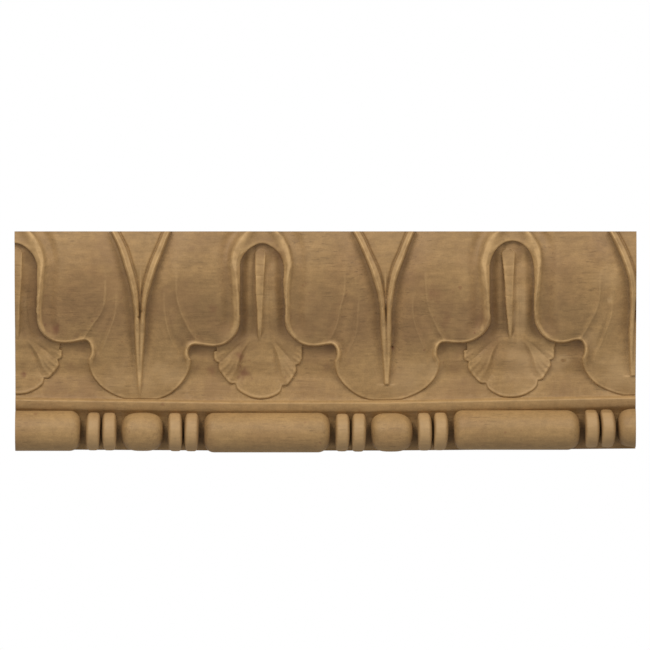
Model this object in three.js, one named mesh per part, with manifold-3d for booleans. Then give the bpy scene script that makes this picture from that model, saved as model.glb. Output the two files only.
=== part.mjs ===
// A length of cast resin moulding: a band of lamb's-tongue leaves over a plain fillet and a course of beads,
// reels and barrels. It is one casting with a flat back. Millimetres: X runs along the moulding, -Y is the front
// and Z is up. The origin is the middle of the flat back.
import * as THREE from "three";
import { mergeVertices } from "three/addons/utils/BufferGeometryUtils.js";
import Module from "manifold-3d";

const wasm = await Module();
wasm.setup();

// Sizes along the moulding. The left end is cut through the middle of a tongue.
const length = 246;
const repeat = 98.4;

// Heights, from the top edge down.
const bandHeight = 67.8;
const filletHeight = 3.8;
const quirkGap = 0.4;
const courseDiameter = 16;

// Projections from the flat back.
const groundProjection = 9;
const leafFootProjection = 11.4;
const leafBulgeProjection = 27;
const filletProjection = 11;
const courseProjection = 17.5;
const courseSunk = 3.1;

// Depths of the carving.
const leafOverGround = 5.2;
const fanThickness = 1.5;
const rimRise = 1.5;
const rimHollow = 0.8;
const bodySwell = 0.4;
const foldRise = 0.4;
const stemRise = 1.3;
const stemHollow = 1.5;
const pinRise = 1.6;
const topRollBack = 1.0;

// The bead course. The barrel fills what the bead, reels and gaps leave of a repeat.
const beadWidth = 16.6;
const reelWidth = 5.8;
const reelInset = 0.2;
const reelGap = 0.6;
const beadGap = 1.9;
const barrelEndRound = 4.4;
const beadSquareness = 3;
const reelSquareness = 4.4;
const backFootInset = 0.6;
const filletBevel = 1.2;

// The carver's small errors: how far each tongue stands from its regular place, and how the bead course, which
// was laid out on its own, runs a little long and to the right of the leaves over it.
const tongueDrift = [0, -0.5, 0.1];
const courseStretch = 1.006;
const courseShift = 1.6;

// Levels that follow from the sizes.
const height = bandHeight + filletHeight + quirkGap + courseDiameter;
const top = height / 2;
const filletTop = top - bandHeight;
const filletFoot = filletTop - filletHeight;
const courseTop = filletFoot - quirkGap;
const courseRadius = courseDiameter / 2;
const axisLevel = courseTop - courseRadius;
const axisProjection = courseProjection - courseRadius;
const wallProjection = axisProjection - courseRadius + courseSunk;
const bodyFoot = courseTop - courseDiameter + backFootInset;

// The leaves are drawn on a sheet for half a repeat: u runs from the tongue's middle to the leaf's midrib,
// and w from the fillet up to the top edge. The sheet is stretched to the real half repeat and band height.
const sheetWidth = 49.2;
const sheetHeight = 67.8;
const overrun = 1.4;
const buried = 2;
const reach = leafBulgeProjection + rimRise + 10;

const clamp = (value, low, high) => Math.min(Math.max(value, low), high);
const share = (value, from, to) => clamp((value - from) / (to - from), 0, 1);
const smooth = (t) => t * t * (3 - 2 * t);
const ease = (value, from, to) => smooth(share(value, from, to));
const mix = (a, b, t) => a + (b - a) * t;
const levelAt = (w) => filletTop + (w * bandHeight) / sheetHeight;

// Profiles of the band

// The leaves' cyma: hollow over the fillet, a slope, and a bulge that rolls back a little at the top edge.
const cymaFoot = 3.8;
const cymaHead = 55.8;
function leafProjection(w) {
  const rise = ease(w, cymaFoot, cymaHead);
  const roll = share(w, cymaHead, sheetHeight) ** 2;
  return mix(leafFootProjection, leafBulgeProjection, rise) - topRollBack * roll;
}

// The ground behind the leaves: flat below, then parallel to the cyma.
const groundBlend = 2.4;
function groundAt(w) {
  const sunk = leafProjection(w) - leafOverGround;
  const overlap = clamp((groundBlend - Math.abs(sunk - groundProjection)) / groundBlend, 0, 1);
  return Math.max(sunk, groundProjection) + (overlap * overlap * groundBlend) / 4;
}

// The edge of the leaf, from the crown of the arch to the leaf's tip

const archHalfWidth = 8.8;
const archCrown = 63;
const archSpring = 52.6;
const lobeStart = 33.4;
const lobeLowest = [20.6, 22.4];
const curlCentre = [27.4, 20.3];
const curlRadius = [3.2, 3.3];
const shoulder = [28.6, 15.6];
const tipLevel = 0.2;

function ellipseArc(centre, radius, fromDegrees, toDegrees, steps) {
  return Array.from({ length: steps + 1 }, (_, i) => {
    const angle = THREE.MathUtils.degToRad(mix(fromDegrees, toDegrees, i / steps));
    return [centre[0] + radius[0] * Math.cos(angle), centre[1] + radius[1] * Math.sin(angle)];
  });
}

function leafEdge() {
  const crown = ellipseArc([0, archSpring], [archHalfWidth, archCrown - archSpring], 90, 0, 9);
  const lobe = ellipseArc(
    [lobeLowest[0], lobeStart],
    [lobeLowest[0] - archHalfWidth, lobeStart - lobeLowest[1]],
    180, 270, 9,
  );
  const lip = new THREE.CubicBezierCurve(
    new THREE.Vector2(...lobeLowest),
    new THREE.Vector2(lobeLowest[0] + 3, lobeLowest[1]),
    new THREE.Vector2(curlCentre[0] - 2.4, curlCentre[1] + curlRadius[1]),
    new THREE.Vector2(curlCentre[0], curlCentre[1] + curlRadius[1]),
  ).getPoints(4).slice(1, -1).map((p) => [p.x, p.y]);
  const curl = ellipseArc(curlCentre, curlRadius, 90, -35, 6);
  const lowerLobe = ellipseArc(
    [sheetWidth, shoulder[1]],
    [sheetWidth - shoulder[0], shoulder[1] - tipLevel],
    180, 270, 13,
  );
  return [...crown, ...lobe, ...lip, ...curl, ...lowerLobe];
}

// The fan at the tongue's foot: five lobes round a pivot, with a nick between each two

const fanPivot = 26.8;
const fanSideRadius = 20.7;
const fanDroop = 5.3;
const fanSpread = 76;
const fanNicks = [56.8, 25.9];
const nickDepth = 1.2;
const nickWidth = 3;
const nickTurn = 2.2;
const lobeSteps = 3;
const stalkHalfWidth = 9.6;

function fanRadius(degrees) {
  const droop = fanDroop * Math.cos(THREE.MathUtils.degToRad(degrees)) ** 4;
  const cuts = fanNicks.map((nick) => Math.exp(-(((degrees - nick) / nickWidth) ** 2)));
  return fanSideRadius + droop - nickDepth * (cuts[0] + cuts[1]);
}

// The angles at which the edge is drawn, from the fan's side to its middle, with a point in each nick.
function fanAngles() {
  const marks = [fanSpread + nickTurn, ...fanNicks, -nickTurn];
  return marks.slice(1).flatMap((mark, i) => {
    const from = marks[i] - nickTurn;
    const to = mark + nickTurn;
    const lobe = Array.from({ length: lobeSteps + 1 }, (_, j) => mix(from, to, j / lobeSteps));
    return mark > 0 ? [...lobe, mark] : lobe;
  });
}

function fanEdge() {
  const rim = fanAngles().map((degrees) => {
    const angle = THREE.MathUtils.degToRad(degrees);
    const radius = fanRadius(degrees);
    return [radius * Math.sin(angle), fanPivot - radius * Math.cos(angle)];
  });
  return [[stalkHalfWidth, archCrown + overrun], [stalkHalfWidth, lobeStart], ...rim];
}

// Ridges and hollows. Each surface is a set of lines down the sheet, [u, relief], from the tongue outwards.

// The sharp crest of the roll round the arch.
const crestHalfWidth = 11.2;
const crestSpring = 53.8;
const crestRise = 16.6;
const crestFoot = 9.4;
function rimCrest(w) {
  if (w > crestSpring) {
    const lift = Math.min((w - crestSpring) / crestRise, 0.97);
    return crestHalfWidth * Math.sqrt(1 - lift * lift);
  }
  return mix(crestFoot, crestHalfWidth, ease(w, 33, crestSpring));
}

// The two stems spread from the midrib like a V, and run on below as one tapering rib.
const stemJoin = 32.6;
const stemSpread = 10.2;
const stemHalfWidth = 1.2;
const midribTop = 2.2;
const midribFoot = 0.7;
const midribEnd = 3;
const stemSpreadAt = (w) => 1 + stemSpread * share(w, stemJoin, sheetHeight) ** 1.9;
const midribAt = (w) => mix(midribFoot, midribTop, share(w, midribEnd, stemJoin));

// Two soft folds run up the leaf from its curl.
const foldBesideCurl = (w) => 34.2 - 7.4 * share(w, 43.8, 24.8) ** 1.8;
const foldBesideStem = (w) => 38.4 - 6 * share(w, 39.8, 18.8) ** 1.8;

const lineGap = 0.7;
const stemLineGap = 0.25;
const stemLines = 5;

function leafLines(w) {
  const crest = rimCrest(w);
  const joined = 1 - ease(w, stemJoin - 4, stemJoin + 6);
  const stemEdge = w > stemJoin ? stemSpreadAt(w) + stemHalfWidth : midribAt(w);
  const stemFoot = mix(Math.max(stemSpreadAt(w) - 1.4, 0.3), 0.3, joined);
  const stemFade = ease(w, midribEnd - 3, midribEnd + 2);
  const rimFade = mix(0.35, 1, ease(w, 26, 40));
  const foldFade = 1 - ease(w, 40, 52);
  const hollowFade = mix(0.3, 1, ease(w, 8, 40));
  const outer = sheetWidth - stemEdge;
  const lines = [
    [0, 0.5],
    [w > archSpring ? Math.max(crest * 0.45, 0.6) : archHalfWidth - 1, 0.5],
    [crest, rimRise * rimFade],
    [crest + 1.9, -0.4 * rimHollow * rimFade],
    [crest + 4.6, -rimHollow * rimFade],
    [20.5, -0.1],
    [26.5, bodySwell],
    [foldBesideCurl(w) - 2.8, -0.5 * foldRise * foldFade],
    [foldBesideCurl(w), foldRise * foldFade],
    [foldBesideStem(w) - 1.6, -0.5 * foldRise * foldFade],
    [foldBesideStem(w), 0.4 * foldRise * foldFade],
    [outer - 4.4, -0.1],
    [outer - 1.1, -stemHollow * hollowFade * stemFade],
    [outer, stemRise * mix(0.75, 1, 1 - joined) * stemFade],
    [mix(outer + 1.5, sheetWidth - 0.6 * midribAt(w), joined), mix(0.8, 1, joined) * stemFade],
    [sheetWidth - stemFoot, mix(-0.2, 0.7, joined) * stemFade],
    [sheetWidth, mix(0, 0.6, joined) * stemFade],
  ];
  for (let i = lines.length - 2; i > 0; i--) {
    const gap = i >= lines.length - stemLines ? stemLineGap : lineGap;
    lines[i][0] = Math.min(lines[i][0], lines[i + 1][0] - gap);
  }
  return lines;
}

// The bed in the arch has a roll each side of the pin, and opens into the fan's flutes.
const lobeGroove = (w) => 2.6 + 7.6 * share(w, 22.6, 6.2) ** 1.1;
const rollCrest = (w) => 4.9 + 7.5 * share(w, 36, 12.6) ** 1.9;
const outerGroove = (w) => 7 + 9.8 * share(w, 30, 15.8) ** 1.3;

function fanLines(w) {
  const inArch = ease(w, 20, 36);
  return [
    [0, mix(0.25, 0, inArch)],
    [mix(lobeGroove(w) * 0.55, 1.4, inArch), mix(0.15, 0, inArch)],
    [lobeGroove(w), mix(-0.4, 0, inArch)],
    [rollCrest(w), mix(0.45, 0.9, inArch)],
    [outerGroove(w), mix(-0.3, -1.2, inArch)],
    [outerGroove(w) + 2, mix(0.25, -1.6, inArch)],
    [26, 0],
  ];
}

// Geometry helpers

// A closed mesh as a solid that can be joined and cut.
function solidOf(geometry) {
  const bare = geometry.clone();
  for (const name of Object.keys(bare.attributes)) if (name !== "position") bare.deleteAttribute(name);
  const merged = mergeVertices(bare, 1e-4);
  return new wasm.Manifold(
    new wasm.Mesh({
      numProp: 3,
      vertProperties: new Float32Array(merged.attributes.position.array),
      triVerts: new Uint32Array(merged.index.array),
    }),
  );
}

function geometryOf(solid) {
  const mesh = solid.getMesh();
  const geometry = new THREE.BufferGeometry();
  geometry.setAttribute("position", new THREE.BufferAttribute(new Float32Array(mesh.vertProperties), 3));
  geometry.setIndex(new THREE.BufferAttribute(new Uint32Array(mesh.triVerts), 1));
  geometry.computeVertexNormals();
  return geometry;
}

// A closed block whose front is a grid of points [x, projection, z], row by row from the top, and whose back is
// the same grid pressed flat at the given projection.
function gridBlock(rows, backProjection) {
  const across = rows[0].length;
  const front = rows.flat().map(([x, projection, z]) => [x, -projection, z]);
  const back = front.map(([x, , z]) => [x, -backProjection, z]);
  const index = [];
  const quad = (a, b, c, d) => index.push(a, b, c, a, c, d);
  const at = (row, column) => row * across + column;
  const behind = front.length;
  for (let r = 0; r < rows.length - 1; r++)
    for (let c = 0; c < across - 1; c++) {
      quad(at(r, c), at(r + 1, c), at(r + 1, c + 1), at(r, c + 1));
      quad(behind + at(r, c), behind + at(r, c + 1), behind + at(r + 1, c + 1), behind + at(r + 1, c));
    }
  const rim = [];
  for (let r = 0; r < rows.length - 1; r++) rim.push(at(r, 0));
  for (let c = 0; c < across - 1; c++) rim.push(at(rows.length - 1, c));
  for (let r = rows.length - 1; r > 0; r--) rim.push(at(r, across - 1));
  for (let c = across - 1; c > 0; c--) rim.push(at(0, c));
  rim.forEach((a, i) => {
    const b = rim[(i + 1) % rim.length];
    quad(b, a, behind + a, behind + b);
  });
  const geometry = new THREE.BufferGeometry();
  geometry.setAttribute("position", new THREE.Float32BufferAttribute([...front, ...back].flat(), 3));
  geometry.setIndex(index);
  return solidOf(geometry);
}

// A flat outline of [x, z] points pushed forwards from one projection to another.
function prism(points, fromProjection, toProjection) {
  const outline = new THREE.Shape(points.map(([x, z]) => new THREE.Vector2(x, z)));
  const geometry = new THREE.ExtrudeGeometry(outline, {
    depth: toProjection - fromProjection,
    bevelEnabled: false,
  });
  geometry.rotateX(Math.PI / 2);
  geometry.translate(0, -fromProjection, 0);
  return solidOf(geometry);
}

// Places along the moulding

const halfRepeat = repeat / 2;
const leftEnd = -length / 2;
const rightEnd = length / 2;
const repeats = Math.ceil(length / repeat) + 1;
const tongueAt = (k) => leftEnd + k * repeat + (tongueDrift[k] ?? 0);
const midribX = (k) => leftEnd + k * repeat + halfRepeat;
const inReach = (low, high) => high > leftEnd - overrun && low < rightEnd + overrun;

// The half of the sheet on one side of tongue k: side 1 is to the right and -1 to the left.
function placeOnHalf(k, side) {
  const tongue = tongueAt(k);
  const midrib = side > 0 ? midribX(k) : midribX(k - 1);
  return (u) => tongue + (u * (midrib - tongue)) / sheetWidth;
}

// The sections and the layers

function body() {
  const section = [];
  const bandSteps = 16;
  for (let i = 0; i <= bandSteps; i++) {
    const w = mix(sheetHeight + overrun, filletBevel + 0.8, i / bandSteps);
    section.push([groundAt(w), levelAt(w)]);
  }
  section.push(
    [groundProjection - 0.3, filletTop + filletBevel],
    [filletProjection, filletTop],
    [filletProjection - 0.3, filletFoot],
    [axisProjection, courseTop],
    [wallProjection, axisLevel + courseRadius * 0.3],
    [wallProjection, bodyFoot],
    [-buried, bodyFoot],
    [-buried, top + overrun],
  );
  const outline = new THREE.Shape(section.map(([p, z]) => new THREE.Vector2(p, z)));
  const geometry = new THREE.ExtrudeGeometry(outline, { depth: length + 2 * overrun, bevelEnabled: false });
  const turn = new THREE.Matrix4().makeBasis(
    new THREE.Vector3(0, -1, 0),
    new THREE.Vector3(0, 0, 1),
    new THREE.Vector3(-1, 0, 0),
  );
  geometry.applyMatrix4(turn);
  geometry.translate(rightEnd + overrun, 0, 0);
  return solidOf(geometry);
}

const leafRows = 20;

function leafLayer() {
  const rows = [];
  for (let i = 0; i <= leafRows; i++) {
    const w = mix(sheetHeight + overrun, -overrun, i / leafRows);
    const lines = leafLines(clamp(w, 0, sheetHeight));
    const row = [];
    for (let k = 0; k < repeats; k++)
      for (const side of [-1, 1]) {
        const place = placeOnHalf(k, side);
        if (!inReach(Math.min(place(0), place(sheetWidth)), Math.max(place(0), place(sheetWidth)))) continue;
        const half = lines.map(([u, relief]) => [place(u), leafProjection(w) + relief, levelAt(w)]);
        if (side < 0) half.reverse();
        row.push(...(row.length ? half.slice(1) : half));
      }
    rows.push(row);
  }
  return gridBlock(rows, buried);
}

// The part of the band that the leaves leave open round tongue k.
function openingAt(k) {
  const edge = [...leafEdge(), [sheetWidth, -2 * overrun]];
  const halfOf = (side) => {
    const place = placeOnHalf(k, side);
    return edge.map(([u, w]) => [place(u), levelAt(w)]);
  };
  return prism([...halfOf(-1).reverse(), ...halfOf(1).slice(1)], buried / 2, reach);
}

const fanRows = 13;

function fanAt(k) {
  const rows = [];
  for (let i = 0; i <= fanRows; i++) {
    const w = mix(archCrown + overrun, -overrun, i / fanRows);
    const lines = fanLines(w);
    const surface = groundAt(w) + fanThickness;
    const halfOf = (side) => {
      const place = placeOnHalf(k, side);
      return lines.map(([u, relief]) => [place(u), surface + relief, levelAt(w)]);
    };
    rows.push([...halfOf(-1).reverse(), ...halfOf(1).slice(1)]);
  }
  const edge = fanEdge();
  const outlineOf = (side) => {
    const place = placeOnHalf(k, side);
    return edge.map(([u, w]) => [place(u), levelAt(w)]);
  };
  const outline = prism([...outlineOf(-1), ...outlineOf(1).reverse().slice(1)], buried / 2, reach);
  return gridBlock(rows, buried).intersect(outline);
}

// The tapering pin that stands in the arch.
const pinTop = 61;
const pinFoot = 22.6;
const pinTopHalfWidth = 2.7;
const pinFootHalfWidth = 0.7;
const pinRows = 5;

function pinAt(k) {
  const rows = [];
  for (let i = 0; i <= pinRows; i++) {
    const t = i / pinRows;
    const w = mix(pinTop, pinFoot, t);
    const half = mix(pinTopHalfWidth, pinFootHalfWidth, t ** 0.8) * (i ? 1 : 0.7);
    const bed = groundAt(w) + fanThickness - 0.4;
    const face = bed + 0.4 + pinRise * mix(1, 0.3, t ** 2);
    const x = tongueAt(k);
    rows.push([
      [x - half - 0.35, bed, levelAt(w)],
      [x - half, face, levelAt(w)],
      [x + half, face, levelAt(w)],
      [x + half + 0.35, bed, levelAt(w)],
    ]);
  }
  return gridBlock(rows, buried);
}

// The bead course

const turnSteps = 18;
const beadSteps = 8;
const reelSteps = 6;
const barrelEndSteps = 3;

// A turned piece on the bead axis, from its outline [along, radius], which starts and ends on the axis.
function turned(x, outline) {
  const points = outline.map(([along, radius]) => new THREE.Vector2(radius, along));
  const geometry = new THREE.LatheGeometry(points, turnSteps);
  geometry.rotateZ(-Math.PI / 2);
  geometry.translate(x, -axisProjection, axisLevel);
  return solidOf(geometry);
}

// The outline of a bead or reel: a rounded square section, squarer as its power rises.
function roundedOutline(width, radius, power, steps) {
  const outline = [];
  for (let i = 0; i <= steps; i++) {
    const angle = (Math.PI * i) / steps;
    const along = (-Math.sign(Math.cos(angle)) * Math.abs(Math.cos(angle)) ** (2 / power) * width) / 2;
    outline.push([along, Math.sin(angle) ** (2 / power) * radius]);
  }
  outline[0][1] = 0;
  outline[steps][1] = 0;
  return outline;
}

function barrelOutline(barrelLength) {
  const end = Math.min(barrelEndRound, courseRadius * 0.7, barrelLength / 3);
  const corner = ellipseArc([-barrelLength / 2 + end, courseRadius - end], [end, end], 180, 90, barrelEndSteps);
  const mirrored = corner.map(([along, r]) => [-along, r]).reverse();
  return [[-barrelLength / 2, 0], ...corner, ...mirrored, [barrelLength / 2, 0]];
}

function beadCourse() {
  const pieces = [];
  const firstReel = beadWidth / 2 + beadGap + reelWidth / 2;
  const secondReel = firstReel + reelWidth + reelGap;
  const barrelLength = repeat - 2 * (secondReel + reelWidth / 2 + beadGap);
  for (let k = -1; k < repeats; k++) {
    const bead = midribX(k) * courseStretch + courseShift;
    const places = [
      [bead, beadWidth, () => roundedOutline(beadWidth, courseRadius, beadSquareness, beadSteps)],
      [bead + halfRepeat * courseStretch, barrelLength, () => barrelOutline(barrelLength)],
    ];
    const reel = () => roundedOutline(reelWidth, courseRadius - reelInset, reelSquareness, reelSteps);
    for (const offset of [-secondReel, -firstReel, firstReel, secondReel])
      places.push([bead + offset, reelWidth, reel]);
    for (const [x, width, outline] of places)
      if (inReach(x - width / 2, x + width / 2)) pieces.push(turned(x, outline()));
  }
  return pieces;
}

// The whole casting, trimmed square at both ends, the top edge and the back.
function moulding() {
  let leaves = leafLayer();
  let casting = body();
  for (let k = 0; k < repeats; k++) {
    if (!inReach(tongueAt(k) - halfRepeat, tongueAt(k) + halfRepeat)) continue;
    leaves = leaves.subtract(openingAt(k));
    casting = casting.add(fanAt(k)).add(pinAt(k));
  }
  casting = casting.add(leaves);
  for (const piece of beadCourse()) casting = casting.add(piece);
  const trim = new THREE.BoxGeometry(length, reach, 2 * height);
  trim.translate(0, -reach / 2, top - height);
  return geometryOf(casting.intersect(solidOf(trim)));
}

const resin = new THREE.MeshStandardMaterial({ color: 0x9f7c52, roughness: 0.62, metalness: 0 });

const group = new THREE.Group();
const casting = new THREE.Mesh(moulding(), resin);
casting.name = "moulding";
group.add(casting);

export default group;
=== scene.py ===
import itertools
import math

import bpy
import numpy as np
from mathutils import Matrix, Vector


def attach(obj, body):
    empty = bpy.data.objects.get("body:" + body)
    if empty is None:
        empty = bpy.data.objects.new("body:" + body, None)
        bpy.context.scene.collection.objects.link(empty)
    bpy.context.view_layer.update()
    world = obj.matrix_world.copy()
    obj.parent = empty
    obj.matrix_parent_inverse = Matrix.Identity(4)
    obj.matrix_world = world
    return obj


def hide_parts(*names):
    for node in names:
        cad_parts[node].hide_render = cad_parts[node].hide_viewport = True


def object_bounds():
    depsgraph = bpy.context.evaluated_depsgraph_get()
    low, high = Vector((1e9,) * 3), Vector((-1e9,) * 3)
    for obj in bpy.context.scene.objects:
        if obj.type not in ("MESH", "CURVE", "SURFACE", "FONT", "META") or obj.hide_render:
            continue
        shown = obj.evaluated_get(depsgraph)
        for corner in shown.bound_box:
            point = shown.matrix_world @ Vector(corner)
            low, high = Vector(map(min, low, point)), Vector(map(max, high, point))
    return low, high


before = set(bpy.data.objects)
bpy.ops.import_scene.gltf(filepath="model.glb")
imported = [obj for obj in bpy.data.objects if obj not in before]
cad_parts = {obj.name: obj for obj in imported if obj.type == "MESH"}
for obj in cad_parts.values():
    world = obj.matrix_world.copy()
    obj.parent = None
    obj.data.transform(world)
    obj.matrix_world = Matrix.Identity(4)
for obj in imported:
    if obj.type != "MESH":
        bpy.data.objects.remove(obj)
cad_low, cad_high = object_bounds()

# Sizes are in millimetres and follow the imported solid. Projections are measured from the flat back.
MM = 0.001
LENGTH = (cad_high.x - cad_low.x) / MM
TOP = cad_high.z / MM
FOOT = cad_low.z / MM
MOST_PROJECTION = -cad_low.y / MM

FILLET_HEIGHT = 3.8
QUIRK_GAP = 0.4
COURSE_DIAMETER = 16.0
BAND_HEIGHT = TOP - FOOT - FILLET_HEIGHT - QUIRK_GAP - COURSE_DIAMETER
GROUND_PROJECTION = 9.0
LEAF_FOOT_PROJECTION = 11.4
LEAF_BULGE_PROJECTION = 27.0
FILLET_PROJECTION = 11.0
COURSE_PROJECTION = 17.5
COURSE_SUNK = 3.1
LEAF_OVER_GROUND = 5.2
BACK_FOOT_INSET = 1.1

HALF_REPEAT = LENGTH / 5
LEFT_END = -LENGTH / 2
RIGHT_END = LENGTH / 2
FILLET_TOP = TOP - BAND_HEIGHT
FILLET_FOOT = FILLET_TOP - FILLET_HEIGHT
COURSE_TOP = FILLET_FOOT - QUIRK_GAP
COURSE_RADIUS = COURSE_DIAMETER / 2
AXIS_LEVEL = COURSE_TOP - COURSE_RADIUS
AXIS_PROJECTION = COURSE_PROJECTION - COURSE_RADIUS
WALL_PROJECTION = AXIS_PROJECTION - COURSE_RADIUS + COURSE_SUNK
BODY_FOOT = FOOT + BACK_FOOT_INSET

COURSE_STRETCH = 1.006
COURSE_SHIFT = 1.6

# Each half repeat runs from a tongue's middle to a midrib: (tongue, side, midrib), numbered from the left.
# The carving is drawn on a sheet of this width per half. Of the lists below, those with five rows are for
# the halves, and those with three for the tongues or the midribs, from the left.
HALVES = [(0, 1, 0), (1, -1, 0), (1, 1, 1), (2, -1, 1), (2, 1, 2)]
SHEET_WIDTH = 49.2

# How far each tongue stands to the right of its regular place, and its pin, at the foot and at the top, and
# its fan to the right of the tongue's middle.
TONGUE_DRIFT = [0.0, -0.5, 0.1]
PIN_SHIFT = [(0.9, 0.9), (-1.0, -0.7), (-0.7, -1.7)]
FAN_SHIFT = [0.3, -0.9, -0.3]
PIN_HALF_WIDTH = [2.75, 2.75, 3.3]

# The carved front is made as a grid of points, FINE_STEP apart. Its triangles are then thinned out to
# BAND_TRIANGLES, mostly where it is flat.
FINE_STEP = 0.2
BAND_TRIANGLES = 146_000

# The projection of a layer where there is none: behind everything.
ABSENT = -1.0


def share(value, low, high):
    return np.clip((value - low) / (high - low), 0, 1)


def ease(value, low, high):
    t = share(value, low, high)
    return t * t * (3 - 2 * t)


def mix(a, b, t):
    return a + (b - a) * t


def ridge(distance, width):
    """A soft ridge, 1 at its crest, that has died away at about twice its width."""
    return np.exp(-((distance / width) ** 2))


def rounded_step(inset, radius):
    """0 outside an edge, rising in a quarter round to 1 at the radius inside it."""
    t = share(inset, 0, radius)
    return np.sqrt(1 - (1 - t) ** 2)


def nosed(height, foot, inset, radius):
    """A layer that is rounded over at its edge, never lower than its foot, and absent outside its edge."""
    rounded = height - radius * (1 - rounded_step(inset, radius))
    return np.where(inset > 0, np.maximum(rounded, foot), ABSENT)


def wobble(x, y, seed, longest, shortest, count=14):
    """Smooth unevenness between about -1 and 1, from waves of the given lengths, the same on each run."""
    rng = np.random.default_rng(seed)
    total = 0
    for _ in range(count):
        wave = 2 * math.pi / math.exp(rng.uniform(math.log(shortest), math.log(longest)))
        turn = rng.uniform(0, math.pi)
        along = math.cos(turn) * x + math.sin(turn) * y
        total = total + np.sin(wave * along + rng.uniform(0, 2 * math.pi))
    return total / math.sqrt(count)


# The band's profiles. Here and below, w is the height over the fillet, and u is the distance from the
# tongue's middle.
CYMA_FOOT = 3.8
CYMA_HEAD = 55.8
TOP_ROLL_BACK = 1.0
GROUND_BLEND = 2.4


def leaf_projection(w):
    roll = share(w, CYMA_HEAD, BAND_HEIGHT) ** 2
    rise = ease(w, CYMA_FOOT, CYMA_HEAD)
    return mix(LEAF_FOOT_PROJECTION, LEAF_BULGE_PROJECTION, rise) - TOP_ROLL_BACK * roll


def ground_projection(w):
    sunk = leaf_projection(w) - LEAF_OVER_GROUND
    overlap = np.clip((GROUND_BLEND - np.abs(sunk - GROUND_PROJECTION)) / GROUND_BLEND, 0, 1)
    return np.maximum(sunk, GROUND_PROJECTION) + overlap**2 * GROUND_BLEND / 4


# The leaf's edge, from the crown of the arch round the upper lobe and the curl to the leaf's tip.
ARCH_HALF_WIDTH = 8.8
ARCH_SPRING = 52.6
ARCH_CROWNS = [63.0, 63.0, 64.0]
LOBE_START = 33.4
LOBE_LOWEST = 20.0
LOBE_LEVEL = [23.2, 22.35, 22.3, 23.5, 23.6]
CURL_CENTRE = (26.9, 19.3)
CURL_RADIUS = (2.4, 3.4)
CURL_ASIDE = [0.7, 0.2, -0.1, 0.3, -0.5]
CURL_LIFT = [1.6, 0.0, 0.0, 1.1, 1.9]
SHOULDERS = [(29.3, 16.2), (28.8, 16.6), (28.4, 16.2), (28.5, 16.2), (28.2, 17.2)]
TIP_LEVEL = 0.2


def arc(centre, radius, start, end, steps):
    angle = np.radians(np.linspace(start, end, steps + 1))
    return np.stack([centre[0] + radius[0] * np.cos(angle), centre[1] + radius[1] * np.sin(angle)], 1)


def bezier(a, b, c, d, steps):
    t = np.linspace(0, 1, steps + 1)[1:-1, None]
    a, b, c, d = (np.array(p, float) for p in (a, b, c, d))
    return a * (1 - t) ** 3 + 3 * b * t * (1 - t) ** 2 + 3 * c * t**2 * (1 - t) + d * t**3


def leaf_edge(half):
    crown = ARCH_CROWNS[HALVES[half][0]]
    shoulder = SHOULDERS[half]
    lowest = (LOBE_LOWEST, LOBE_LEVEL[half])
    curl = (CURL_CENTRE[0] + CURL_ASIDE[half], CURL_CENTRE[1] + CURL_LIFT[half] / 2)
    curl_radius = (CURL_RADIUS[0], CURL_RADIUS[1] + CURL_LIFT[half] / 2)
    curl_top = (curl[0], curl[1] + curl_radius[1])
    lobe_radius = (lowest[0] - ARCH_HALF_WIDTH, LOBE_START - lowest[1])
    return np.concatenate([
        arc((0, ARCH_SPRING), (ARCH_HALF_WIDTH, crown - ARCH_SPRING), 90, 0, 24),
        arc((lowest[0], LOBE_START), lobe_radius, 180, 270, 24),
        bezier(lowest, (lowest[0] + 3, lowest[1]), (curl_top[0] - 2.4, curl_top[1]), curl_top, 8),
        arc(curl, curl_radius, 90, -48, 18),
        arc((SHEET_WIDTH, shoulder[1]), (SHEET_WIDTH - shoulder[0], shoulder[1] - TIP_LEVEL), 180, 270, 36),
    ])


def distance_to(points, u, w):
    nearest = np.full(u.shape, np.inf)
    for (ax, ay), (bx, by) in zip(points[:-1], points[1:]):
        dx, dy = bx - ax, by - ay
        t = np.clip(((u - ax) * dx + (w - ay) * dy) / (dx * dx + dy * dy), 0, 1)
        nearest = np.minimum(nearest, (u - ax - t * dx) ** 2 + (w - ay - t * dy) ** 2)
    return np.sqrt(nearest)


def is_inside(polygon, u, w):
    inside = np.zeros(u.shape, bool)
    for (ax, ay), (bx, by) in zip(polygon, np.roll(polygon, -1, 0)):
        if ay != by:
            crosses = (ay > w) != (by > w)
            inside ^= crosses & (u < (bx - ax) * (w - ay) / (by - ay) + ax)
    return inside


def inset_from(edge, u, w):
    """How far a point lies inside the leaf's edge. It is below 0 in the opening round the tongue."""
    opening = np.concatenate([edge, [(SHEET_WIDTH * 2, -9), (-9, -9), (-9, edge[0][1])]])
    distance = distance_to(edge, u, w)
    return np.where(is_inside(opening, u, w), -distance, distance)


# The roll round the arch.
CREST_HALF_WIDTH = 10.8
CREST_SPRING = 53.8
CREST_RISE = 16.6
CREST_FOOT = 9.2
CREST_INSET = 0.8
RIM_RISE = 1.95
RIM_HOLLOW = 1.5
RIM_OUTER = [1.2, 1.9, 1.1, 1.9, 1.1]
RIM_BEVEL = [0.1, 0.0, 1.1, 0.0, 1.1]


def rim_crest(w):
    lift = np.clip((w - CREST_SPRING) / CREST_RISE, 0, 0.97)
    below = mix(CREST_FOOT, CREST_HALF_WIDTH, ease(w, 36, CREST_SPRING + 3))
    return np.where(w > CREST_SPRING, CREST_HALF_WIDTH * np.sqrt(1 - lift**2), below)


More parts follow.
